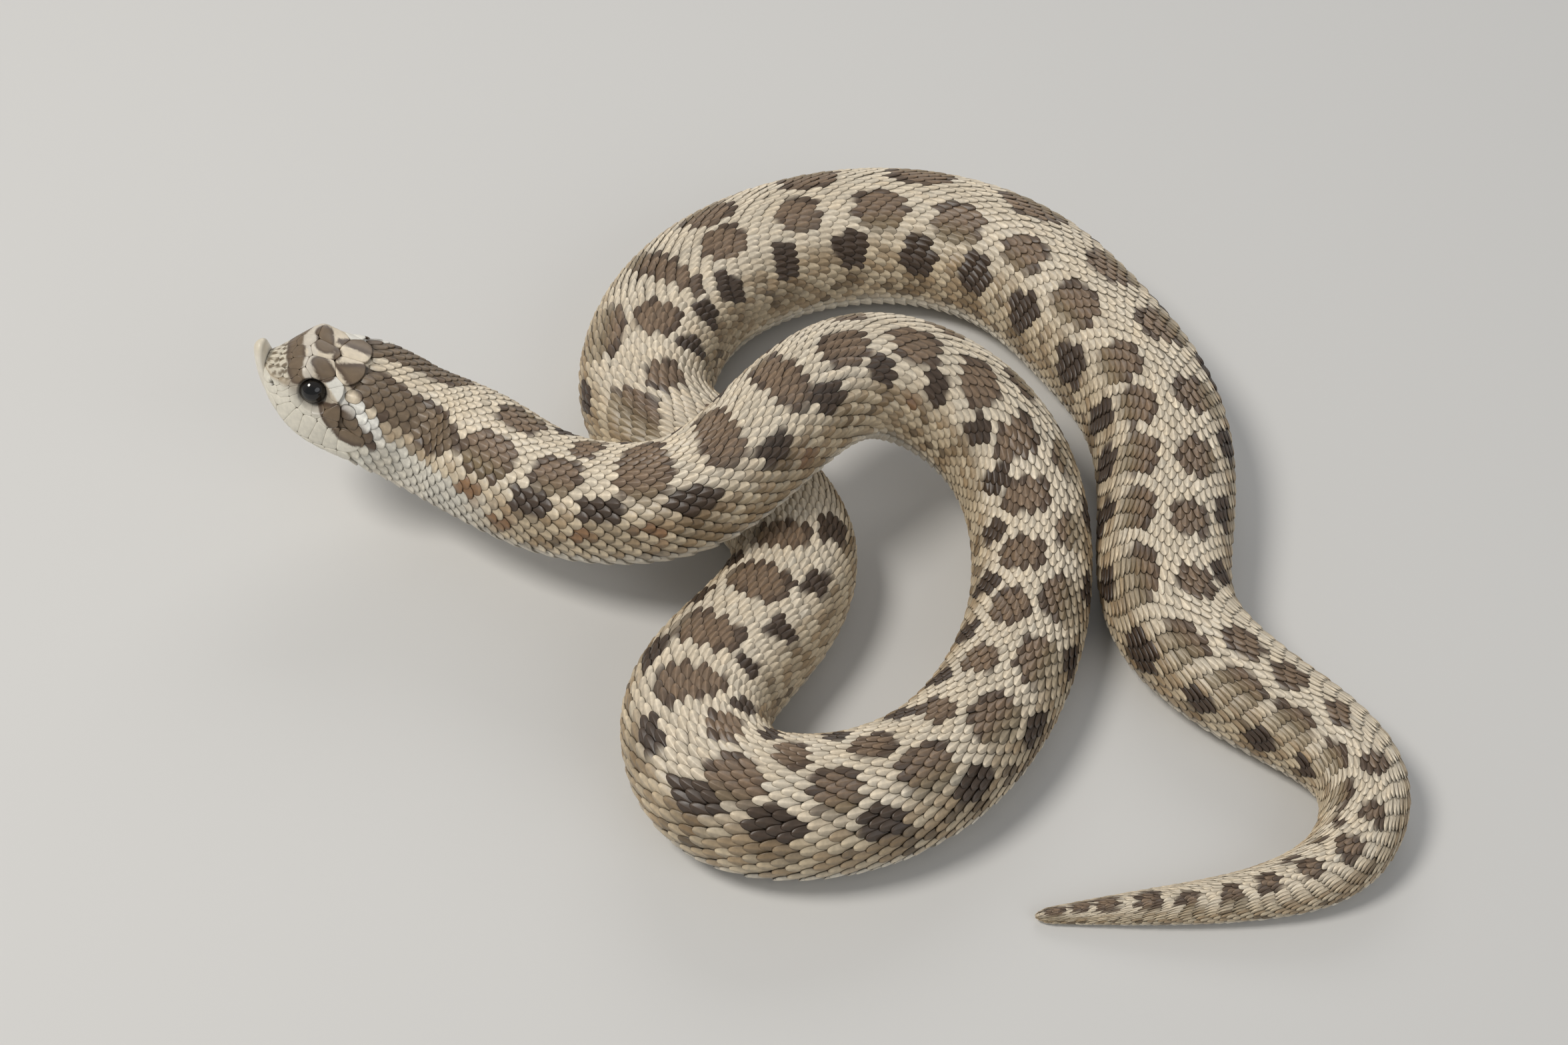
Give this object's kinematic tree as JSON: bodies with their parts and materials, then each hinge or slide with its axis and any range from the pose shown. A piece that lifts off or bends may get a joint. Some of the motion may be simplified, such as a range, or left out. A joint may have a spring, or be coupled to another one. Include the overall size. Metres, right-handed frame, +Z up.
{
  "type": "western hognose snake",
  "caption": "Life-size coiled snake with its neck laid over its own body and its head raised, showing an upturned snout scale; rests on its belly.",
  "frame": {"origin": "on the floor under the middle of the coiled animal's box", "axes": "+Z up, the head points towards -X, the pictured side faces -Y"},
  "size_m": [0.1613, 0.141, 0.0317],
  "materials": {
    "body_scales": "satin keeled scales, cream-grey with brown blotches",
    "tail_scales": "satin keeled scales, cream-grey with brown bands",
    "head_scales": "satin head shields",
    "chin_scales": "smooth pale lip and chin shields",
    "rostral_horn": "satin horny scale",
    "eye": "glossy black"
  },
  "bodies": {
    "root": {"eye_left": "eye", "eye_right": "eye", "head": "head_scales", "lower_jaw": "chin_scales", "neck": "body_scales", "rostral_scale": "rostral_horn", "tail_base": "tail_scales", "tail_tip": "tail_scales", "trunk_01_over_crossing": "body_scales", "trunk_02_arch": "body_scales", "trunk_03_arch_side": "body_scales", "trunk_04_front_loop": "body_scales", "trunk_05_front_loop": "body_scales", "trunk_06_front_loop": "body_scales", "trunk_07_under_crossing": "body_scales", "trunk_08_left_coil": "body_scales", "trunk_09_left_coil": "body_scales", "trunk_10_back_coil": "body_scales", "trunk_11_right_coil": "body_scales", "trunk_12_right_coil": "body_scales", "trunk_13_hind": "body_scales"}
  },
  "joints": []
}
